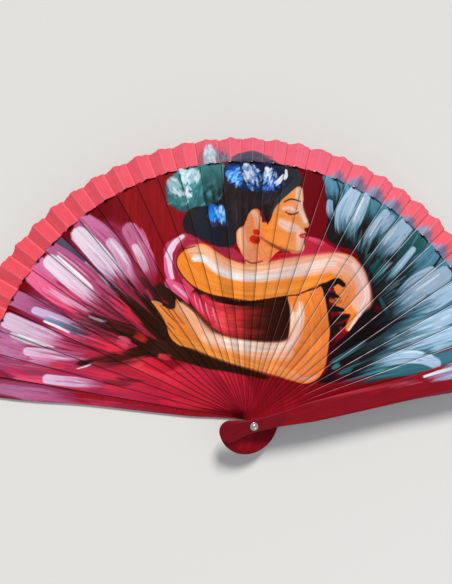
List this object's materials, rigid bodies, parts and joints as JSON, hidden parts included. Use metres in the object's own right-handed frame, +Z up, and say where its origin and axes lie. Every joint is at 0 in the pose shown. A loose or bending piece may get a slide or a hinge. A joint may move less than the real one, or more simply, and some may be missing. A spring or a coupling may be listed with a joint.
{
  "type": "folding hand fan",
  "caption": "Folding hand fan: broad overlapping painted wooden ribs between two guards on one rivet, with a narrow pleated cloth leaf along the outer edge.",
  "frame": {"origin": "on the rivet's axis, in the plane that the bottom guard rests on", "axes": "+Z up along the rivet, +Y from the rivet into the middle of the open fan, +X towards the top guard's side"},
  "size_m": [0.4544, 0.2568, 0.03],
  "materials": {
    "guard_lacquer": "crimson gloss lacquer on wood",
    "painted_wood": "crimson lacquered thin wood with hand-painted brushwork on the front",
    "leaf_cloth": "coral red plain-weave cotton, starched and pleated",
    "rivet_steel": "polished silver-coloured metal"
  },
  "bodies": {
    "guard_bottom": {"guard_bottom": "guard_lacquer", "rivet_pin": "rivet_steel", "rivet_washer": "rivet_steel", "rivet_head": "rivet_steel", "leaf": "leaf_cloth"},
    "rib_01": {"rib_01": "painted_wood"},
    "rib_02": {"rib_02": "painted_wood"},
    "rib_03": {"rib_03": "painted_wood"},
    "rib_04": {"rib_04": "painted_wood"},
    "rib_05": {"rib_05": "painted_wood"},
    "rib_06": {"rib_06": "painted_wood"},
    "rib_07": {"rib_07": "painted_wood"},
    "rib_08": {"rib_08": "painted_wood"},
    "rib_09": {"rib_09": "painted_wood"},
    "rib_10": {"rib_10": "painted_wood"},
    "rib_11": {"rib_11": "painted_wood"},
    "rib_12": {"rib_12": "painted_wood"},
    "rib_13": {"rib_13": "painted_wood"},
    "rib_14": {"rib_14": "painted_wood"},
    "rib_15": {"rib_15": "painted_wood"},
    "rib_16": {"rib_16": "painted_wood"},
    "rib_17": {"rib_17": "painted_wood"},
    "rib_18": {"rib_18": "painted_wood"},
    "rib_19": {"rib_19": "painted_wood"},
    "rib_20": {"rib_20": "painted_wood"},
    "rib_21": {"rib_21": "painted_wood"},
    "rib_22": {"rib_22": "painted_wood"},
    "rib_23": {"rib_23": "painted_wood"},
    "rib_24": {"rib_24": "painted_wood"},
    "rib_25": {"rib_25": "painted_wood"},
    "rib_26": {"rib_26": "painted_wood"},
    "rib_27": {"rib_27": "painted_wood"},
    "rib_28": {"rib_28": "painted_wood"},
    "rib_29": {"rib_29": "painted_wood"},
    "rib_30": {"rib_30": "painted_wood"},
    "rib_31": {"rib_31": "painted_wood"},
    "rib_32": {"rib_32": "painted_wood"},
    "guard_top": {"guard_top": "guard_lacquer"}
  },
  "joints": [
    {"name": "fold_01", "type": "hinge", "parent": "guard_bottom", "child": "rib_01", "pos_m": [0, 0, 0], "axis": [0, 0, 1], "range_deg": [0, 4], "deforming": ["leaf"]},
    {"name": "fold_02", "type": "hinge", "parent": "rib_01", "child": "rib_02", "pos_m": [0, 0, 0], "axis": [0, 0, 1], "range_deg": [0, 4.86]},
    {"name": "fold_03", "type": "hinge", "parent": "rib_02", "child": "rib_03", "pos_m": [0, 0, 0], "axis": [0, 0, 1], "range_deg": [0, 4.86]},
    {"name": "fold_04", "type": "hinge", "parent": "rib_03", "child": "rib_04", "pos_m": [0, 0, 0], "axis": [0, 0, 1], "range_deg": [0, 4.86]},
    {"name": "fold_05", "type": "hinge", "parent": "rib_04", "child": "rib_05", "pos_m": [0, 0, 0], "axis": [0, 0, 1], "range_deg": [0, 4.86]},
    {"name": "fold_06", "type": "hinge", "parent": "rib_05", "child": "rib_06", "pos_m": [0, 0, 0], "axis": [0, 0, 1], "range_deg": [0, 4.86]},
    {"name": "fold_07", "type": "hinge", "parent": "rib_06", "child": "rib_07", "pos_m": [0, 0, 0], "axis": [0, 0, 1], "range_deg": [0, 4.86]},
    {"name": "fold_08", "type": "hinge", "parent": "rib_07", "child": "rib_08", "pos_m": [0, 0, 0], "axis": [0, 0, 1], "range_deg": [0, 4.86]},
    {"name": "fold_09", "type": "hinge", "parent": "rib_08", "child": "rib_09", "pos_m": [0, 0, 0], "axis": [0, 0, 1], "range_deg": [0, 4.86]},
    {"name": "fold_10", "type": "hinge", "parent": "rib_09", "child": "rib_10", "pos_m": [0, 0, 0], "axis": [0, 0, 1], "range_deg": [0, 4.86]},
    {"name": "fold_11", "type": "hinge", "parent": "rib_10", "child": "rib_11", "pos_m": [0, 0, 0], "axis": [0, 0, 1], "range_deg": [0, 4.86]},
    {"name": "fold_12", "type": "hinge", "parent": "rib_11", "child": "rib_12", "pos_m": [0, 0, 0], "axis": [0, 0, 1], "range_deg": [0, 4.86]},
    {"name": "fold_13", "type": "hinge", "parent": "rib_12", "child": "rib_13", "pos_m": [0, 0, 0], "axis": [0, 0, 1], "range_deg": [0, 4.86]},
    {"name": "fold_14", "type": "hinge", "parent": "rib_13", "child": "rib_14", "pos_m": [0, 0, 0], "axis": [0, 0, 1], "range_deg": [0, 4.86]},
    {"name": "fold_15", "type": "hinge", "parent": "rib_14", "child": "rib_15", "pos_m": [0, 0, 0], "axis": [0, 0, 1], "range_deg": [0, 4.86]},
    {"name": "fold_16", "type": "hinge", "parent": "rib_15", "child": "rib_16", "pos_m": [0, 0, 0], "axis": [0, 0, 1], "range_deg": [0, 4.86]},
    {"name": "fold_17", "type": "hinge", "parent": "rib_16", "child": "rib_17", "pos_m": [0, 0, 0], "axis": [0, 0, 1], "range_deg": [0, 4.86]},
    {"name": "fold_18", "type": "hinge", "parent": "rib_17", "child": "rib_18", "pos_m": [0, 0, 0], "axis": [0, 0, 1], "range_deg": [0, 4.86]},
    {"name": "fold_19", "type": "hinge", "parent": "rib_18", "child": "rib_19", "pos_m": [0, 0, 0], "axis": [0, 0, 1], "range_deg": [0, 4.86]},
    {"name": "fold_20", "type": "hinge", "parent": "rib_19", "child": "rib_20", "pos_m": [0, 0, 0], "axis": [0, 0, 1], "range_deg": [0, 4.86]},
    {"name": "fold_21", "type": "hinge", "parent": "rib_20", "child": "rib_21", "pos_m": [0, 0, 0], "axis": [0, 0, 1], "range_deg": [0, 4.86]},
    {"name": "fold_22", "type": "hinge", "parent": "rib_21", "child": "rib_22", "pos_m": [0, 0, 0], "axis": [0, 0, 1], "range_deg": [0, 4.86]},
    {"name": "fold_23", "type": "hinge", "parent": "rib_22", "child": "rib_23", "pos_m": [0, 0, 0], "axis": [0, 0, 1], "range_deg": [0, 4.86]},
    {"name": "fold_24", "type": "hinge", "parent": "rib_23", "child": "rib_24", "pos_m": [0, 0, 0], "axis": [0, 0, 1], "range_deg": [0, 4.86]},
    {"name": "fold_25", "type": "hinge", "parent": "rib_24", "child": "rib_25", "pos_m": [0, 0, 0], "axis": [0, 0, 1], "range_deg": [0, 4.86]},
    {"name": "fold_26", "type": "hinge", "parent": "rib_25", "child": "rib_26", "pos_m": [0, 0, 0], "axis": [0, 0, 1], "range_deg": [0, 4.86]},
    {"name": "fold_27", "type": "hinge", "parent": "rib_26", "child": "rib_27", "pos_m": [0, 0, 0], "axis": [0, 0, 1], "range_deg": [0, 4.86]},
    {"name": "fold_28", "type": "hinge", "parent": "rib_27", "child": "rib_28", "pos_m": [0, 0, 0], "axis": [0, 0, 1], "range_deg": [0, 4.86]},
    {"name": "fold_29", "type": "hinge", "parent": "rib_28", "child": "rib_29", "pos_m": [0, 0, 0], "axis": [0, 0, 1], "range_deg": [0, 4.86]},
    {"name": "fold_30", "type": "hinge", "parent": "rib_29", "child": "rib_30", "pos_m": [0, 0, 0], "axis": [0, 0, 1], "range_deg": [0, 4.86]},
    {"name": "fold_31", "type": "hinge", "parent": "rib_30", "child": "rib_31", "pos_m": [0, 0, 0], "axis": [0, 0, 1], "range_deg": [0, 4.86]},
    {"name": "fold_32", "type": "hinge", "parent": "rib_31", "child": "rib_32", "pos_m": [0, 0, 0], "axis": [0, 0, 1], "range_deg": [0, 4.86]},
    {"name": "fold_33", "type": "hinge", "parent": "rib_32", "child": "guard_top", "pos_m": [0, 0, 0], "axis": [0, 0, 1], "range_deg": [0, 4.86]}
  ],
  "couplings": [
    {"joint": "fold_02", "follows": "fold_01", "ratio": 1.215},
    {"joint": "fold_03", "follows": "fold_01", "ratio": 1.215},
    {"joint": "fold_04", "follows": "fold_01", "ratio": 1.215},
    {"joint": "fold_05", "follows": "fold_01", "ratio": 1.215},
    {"joint": "fold_06", "follows": "fold_01", "ratio": 1.215},
    {"joint": "fold_07", "follows": "fold_01", "ratio": 1.215},
    {"joint": "fold_08", "follows": "fold_01", "ratio": 1.215},
    {"joint": "fold_09", "follows": "fold_01", "ratio": 1.215},
    {"joint": "fold_10", "follows": "fold_01", "ratio": 1.215},
    {"joint": "fold_11", "follows": "fold_01", "ratio": 1.215},
    {"joint": "fold_12", "follows": "fold_01", "ratio": 1.215},
    {"joint": "fold_13", "follows": "fold_01", "ratio": 1.215},
    {"joint": "fold_14", "follows": "fold_01", "ratio": 1.215},
    {"joint": "fold_15", "follows": "fold_01", "ratio": 1.215},
    {"joint": "fold_16", "follows": "fold_01", "ratio": 1.215},
    {"joint": "fold_17", "follows": "fold_01", "ratio": 1.215},
    {"joint": "fold_18", "follows": "fold_01", "ratio": 1.215},
    {"joint": "fold_19", "follows": "fold_01", "ratio": 1.215},
    {"joint": "fold_20", "follows": "fold_01", "ratio": 1.215},
    {"joint": "fold_21", "follows": "fold_01", "ratio": 1.215},
    {"joint": "fold_22", "follows": "fold_01", "ratio": 1.215},
    {"joint": "fold_23", "follows": "fold_01", "ratio": 1.215},
    {"joint": "fold_24", "follows": "fold_01", "ratio": 1.215},
    {"joint": "fold_25", "follows": "fold_01", "ratio": 1.215},
    {"joint": "fold_26", "follows": "fold_01", "ratio": 1.215},
    {"joint": "fold_27", "follows": "fold_01", "ratio": 1.215},
    {"joint": "fold_28", "follows": "fold_01", "ratio": 1.215},
    {"joint": "fold_29", "follows": "fold_01", "ratio": 1.215},
    {"joint": "fold_30", "follows": "fold_01", "ratio": 1.215},
    {"joint": "fold_31", "follows": "fold_01", "ratio": 1.215},
    {"joint": "fold_32", "follows": "fold_01", "ratio": 1.215},
    {"joint": "fold_33", "follows": "fold_01", "ratio": 1.215}
  ]
}
